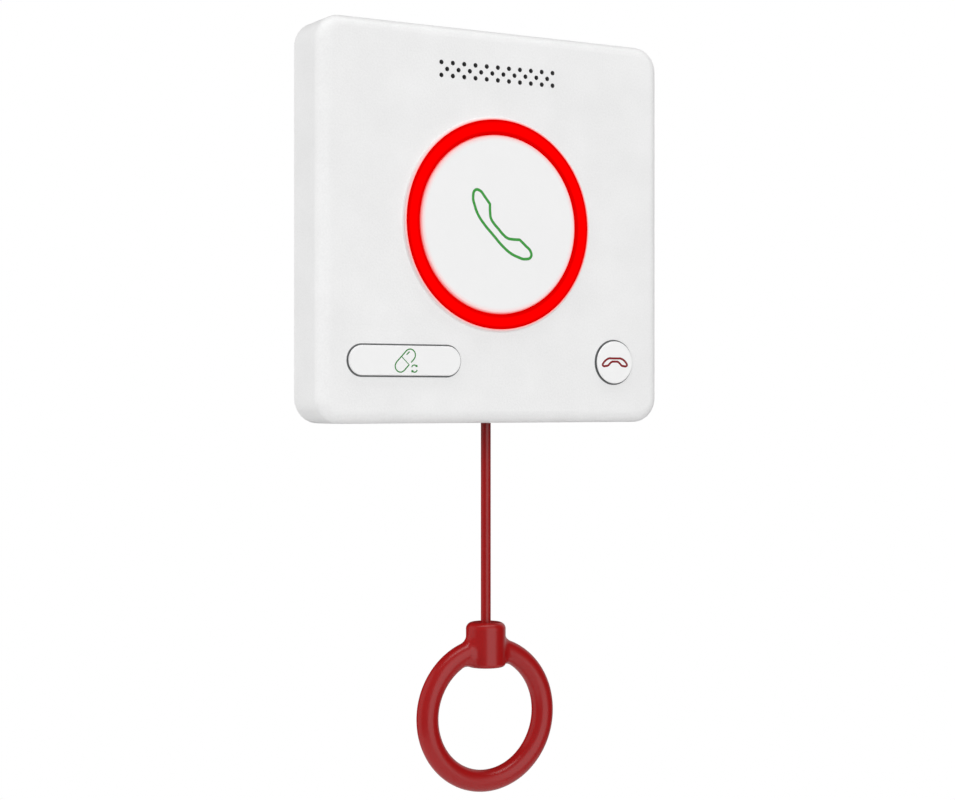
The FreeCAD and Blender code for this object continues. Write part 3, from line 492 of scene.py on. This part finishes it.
def gap_shade_ring(name, centre, half_length, radius):
    """A grey ring in an opening, which fills the gap round its cap and stands in for the shade
    there.
    """
    sides = 96
    width, face_below_front, foot_below_front = 0.44, 0.08, 1.2
    front, back = front_y - face_below_front, front_y - foot_below_front
    bm = bmesh.new()
    bmesh.ops.create_circle(bm, cap_ends=True, segments=sides, radius=radius * MM)
    bmesh.ops.rotate(bm, verts=bm.verts, matrix=Matrix.Rotation(math.pi / sides, 3, "Z"))
    for side in (-1, 1):
        end = [vert for vert in bm.verts if vert.co.x * side > 0]
        bmesh.ops.translate(bm, verts=end, vec=(side * half_length * MM, 0, 0))
    middle = bm.faces[:]
    bmesh.ops.inset_region(bm, faces=middle, thickness=width * MM, use_even_offset=True,
                           use_boundary=True)
    bmesh.ops.delete(bm, geom=middle, context="FACES")
    grown = bmesh.ops.extrude_face_region(bm, geom=bm.faces[:])
    raised = [item for item in grown["geom"] if isinstance(item, bmesh.types.BMVert)]
    bmesh.ops.translate(bm, verts=raised, vec=(0, 0, (front - back) * MM))
    bmesh.ops.recalc_face_normals(bm, faces=bm.faces)
    bmesh.ops.rotate(bm, verts=bm.verts, matrix=Matrix.Rotation(math.radians(90), 3, "X"))
    bmesh.ops.translate(bm, verts=bm.verts, vec=(centre[0] * MM, -back * MM, centre[1] * MM))
    shade_ring = piece_from(bm, name, gap_shade_grey)
    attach(shade_ring, "housing")


def painted_flank_shade(finish, height):
    """Paints a cap's flank grey as shade, up to a height above the cover's front."""
    tree = finish.node_tree
    depth = coordinate(tree, pattern_places(tree), "Y")
    foot = arithmetic(tree, "GREATER_THAN", depth, -(front_y + height) * MM)
    tinted(finish, foot, flank_shade_grey)


cap_white = moulded("cap_white", paint(240, 240, 240), roughness=0.34, grain=0.25,
                    relief=0.004, drift=0.03)
painted_flank_shade(cap_white, height=0.3)
dress(cap_white, "medication_button")
gap_shade_ring("medication_gap_shade", centre=(-33.5, -43.0), half_length=14.85, radius=5.15)

pill_straight = 2.4
pill_radius = 1.85
pill_bend = math.sqrt(0.5) * pill_radius
before_bend = 0.4
side_end = pill_straight - before_bend
upper_return = 0.95
round_end = [(pill_straight, pill_radius), (pill_straight + pill_bend, pill_bend),
             (pill_straight + pill_radius, 0), (pill_straight + pill_bend, -pill_bend),
             (pill_straight, -pill_radius)]
upper = [(0, pill_radius, "corner"), (side_end, pill_radius)] + round_end
upper += [(side_end, -pill_radius), (upper_return, -pill_radius)]
lower = [(0, pill_radius, "corner"), (0, -pill_radius, "corner"), (-side_end, -pill_radius)]
lower += [(-across, -up) for across, up in round_end] + [(-side_end, pill_radius)]
shine = [(1.6, 0.95), (3.0, 0.85)]
arrows_across, arrows_up = 0.45, -4.0
arrows_radius = 1.1
arrow_starts = (111, 291)
arrow_step = 38
tip_lead = 0.15
barb_length = 0.45
barb_spread = 0.32
arrows = []
for start in arrow_starts:
    turns = [math.radians(start - step * arrow_step) for step in range(4)]
    arc = [(arrows_across + arrows_radius * math.cos(turn),
            arrows_up + arrows_radius * math.sin(turn)) for turn in turns]
    outward = Vector((math.cos(turns[-1]), math.sin(turns[-1])))
    onward = Vector((outward.y, -outward.x))
    tip = Vector(arc[-1]) + onward * tip_lead
    barbs = [tuple(tip - onward * barb_length + outward * side)
             for side in (barb_spread, -barb_spread)]
    arrows += [(arc, False), ([barbs[0], (*tip, "corner"), barbs[1]], False)]
medication_green = paint(46, 133, 52)
printed_sign("medication_sign", [(upper, False), (lower, True), (shine, False)] + arrows,
             width=0.40, ink=medication_green, cap="medication_button",
             front=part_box("medication_button")[0].y, centre=(-33.78, -43.01), turn=46)

# Cancel button: a small round cap of the same plastic, with painted shade higher up its flank
# and a grey ring in its gap in the same way. Its sign is a handset laid down, printed in dark red.
cancel_white = moulded("cancel_white", paint(242, 242, 242), roughness=0.34, grain=0.25,
                       relief=0.004, drift=0.03)
painted_flank_shade(cancel_white, height=0.55)
dress(cancel_white, "cancel_button")
gap_shade_ring("cancel_gap_shade", centre=(44.2, -42.8), half_length=0, radius=7.45)
hung_half = [(0, 1.24), (1.2, 1.24), (2.2, 1.24), (3.5, 0.68), (4.45, -0.22), (4.8, -0.85),
             (4.5, -1.28), (3.6, -1.28), (2.68, -1.08), (1.93, -0.4), (1.18, 0.12), (0.5, 0.2),
             (0, 0.2)]
hung_up_red = paint(136, 40, 44)
printed_sign("cancel_sign", [(mirrored(hung_half), True)], width=0.72, ink=hung_up_red,
             cap="cancel_button", front=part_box("cancel_button")[0].y, centre=(44.1, -42.75))

# Circuit board: green solder mask over copper tracks, screwed to the bosses of the cover. It
# carries the processor, the shielded radio, twelve lamps and the three press switches.
fields_scale = 90.0
track_pitch = 0.05
track_width = 0.015
track_green = paint(58, 132, 84)
board_green = moulded("board_green", paint(22, 92, 58), roughness=0.3, grain=0.4, relief=0.01,
                      drift=0.12)
tree = board_green.node_tree
fields = tree.nodes.new("ShaderNodeTexVoronoi")
fields.distance = "CHEBYCHEV"
feed(tree, fields.inputs["Scale"], fields_scale)
feed(tree, fields.inputs["Vector"], pattern_places(tree, scale=(1, 0, 1)))
pitch = arithmetic(tree, "PINGPONG", fields.outputs["Distance"], track_pitch)
tinted(board_green, arithmetic(tree, "LESS_THAN", pitch, track_width), track_green)
dress(board_green, "circuit_board")
dress(black_resin, "processor_chip", "call_switch_body", "medication_switch_body",
      "cancel_switch_body")
dress(drawn_tin, "radio_module")
dress(plated_steel, "board_screws")
lamp_resin = moulded("lamp_resin", paint(250, 235, 200), roughness=0.2, grain=0.2,
                     relief=0.002, drift=0.05)
dress(lamp_resin, "indicator_lamps")
nylon_white = moulded("nylon_white", paint(226, 222, 210), roughness=0.4, grain=0.2,
                      relief=0.004, drift=0.03)
dress(nylon_white, "call_switch_plunger", "medication_switch_plunger", "cancel_switch_plunger")

# Battery: a flat cell in silver foil, stuck to the back of the board, with two leads and a
# white nylon plug.
cell_foil = moulded("cell_foil", paint(198, 200, 202), roughness=0.32, grain=2.5, relief=0.05,
                    drift=0.1, metal=0.9)
dress(cell_foil, "battery_pack")
lead_jacket = moulded("lead_jacket", paint(170, 30, 28), roughness=0.45, grain=0.2,
                      relief=0.004, drift=0.05)
dress(lead_jacket, "battery_leads")
dress(nylon_white, "battery_plug")

# Pull mechanism: a slider on a spring runs in a guide above the flared bush in the lower wall.
# The cord inside ends in a knot in the slider's cup, and the slider's arm works a small switch.
# The cord is painted darker towards the bush and inside it, as shade from the case.
acetal_white = moulded("acetal_white", paint(228, 228, 226), roughness=0.36, grain=0.2,
                       relief=0.003, drift=0.01)
dress(acetal_white, "cord_bush", "pull_guide", "pull_slider")
dress(spring_wire, "pull_switch_lever")
coil_spring("pull_return_spring", "pull_spring")
dress(black_resin, "pull_switch_body")
# Painted shade: the cord darkens upwards into the bush, where the case shades it.
shade_from_z = -82.0
shade_full_z = -61.0
cord_shade_red = paint(112, 10, 10)
cord_red = moulded("cord_red", paint(149, 13, 13), roughness=0.26, grain=0.16, relief=0.003,
                   drift=0.07, stretch=(1, 1, 0.08))
tree = cord_red.node_tree
painted_cord_shade = graded(tree, coordinate(tree, pattern_places(tree), "Z"),
                (shade_from_z * MM, shade_full_z * MM), smooth=True)
tinted(cord_red, painted_cord_shade, cord_shade_red)
dress(cord_red, "inner_cord")

# Wall plate: white ABS like the cover. The cover hooks over its top edge and is held by one
# screw through its lower wall.
plate_white = moulded("plate_white", paint(232, 232, 231), roughness=0.46, grain=0.28,
                      relief=0.008, drift=0.012)
dress(plate_white, "wall_plate")
dress(plated_steel, "locking_screw")

# Pull cord: a smooth red nylon cord, 3.2 mm thick, that hangs straight from the bush to the
# ring. It turns at the mouth of the bush, where it is round.
cord_radius = 1.6
cord_y = -10.9
cord_points = [(0, cord_y, -62.5), (0, cord_y, -86.3), (0, cord_y, -110.2), (0, cord_y, -133.95)]
line = bpy.data.curves.new("cord", "CURVE")
line.dimensions = "3D"
line.bevel_depth = cord_radius * MM
line.bevel_resolution = 10
line.use_fill_caps = True
spline = line.splines.new("NURBS")
spline.points.add(len(cord_points) - 1)
for knot, point in zip(spline.points, cord_points):
    knot.co = (*(c * MM for c in point), 1)
spline.order_u = 3
spline.use_endpoint_u = True
spline.resolution_u = 12
cord = bpy.data.objects.new("cord", line)
line.materials.append(cord_red)
bpy.context.scene.collection.objects.link(cord)
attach(cord, "pull_cord")
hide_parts("pull_cord")


def cord_piece(name, bm, body):
    """A short piece of the cord, which moves with a body."""
    piece = piece_from(bm, name, cord_red, smooth=True)
    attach(piece, body)
    return piece


sides_round = 40
bm = bmesh.new()
bmesh.ops.create_uvsphere(bm, u_segments=sides_round, v_segments=20, radius=cord_radius * MM)
bmesh.ops.translate(bm, verts=bm.verts, vec=Vector(cord_points[0]) * MM)
turn_piece = cord_piece("cord_turn", bm, "pull_cord")
inner_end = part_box("inner_cord")[0].z
height_in_turn = 0.94 * cord_radius
stub_end = (cord_points[0][2] + height_in_turn) * MM
stub_length = inner_end - stub_end
bm = bmesh.new()
bmesh.ops.create_cone(bm, cap_ends=True, segments=sides_round, radius1=cord_radius * MM,
                      radius2=cord_radius * MM, depth=stub_length)
bmesh.ops.translate(bm, verts=bm.verts, vec=(0, cord_y * MM, inner_end - stub_length / 2))
cord_piece("cord_stub", bm, "pull_slider")

# Pull ring: satin red plastic, moulded in one piece with the hub that is hollow for the knot.
# The knot is tied in the cord's end and melted hard.
melted_red = moulded("melted_red", paint(132, 20, 20), roughness=0.3, grain=0.9, relief=0.12,
                     drift=0.12)
dress(melted_red, "cord_knot")
ring_red = moulded("ring_red", paint(156, 12, 13), roughness=0.29, grain=0.3, relief=0.002,
                   drift=0.05)
dress(ring_red, "pull_ring")
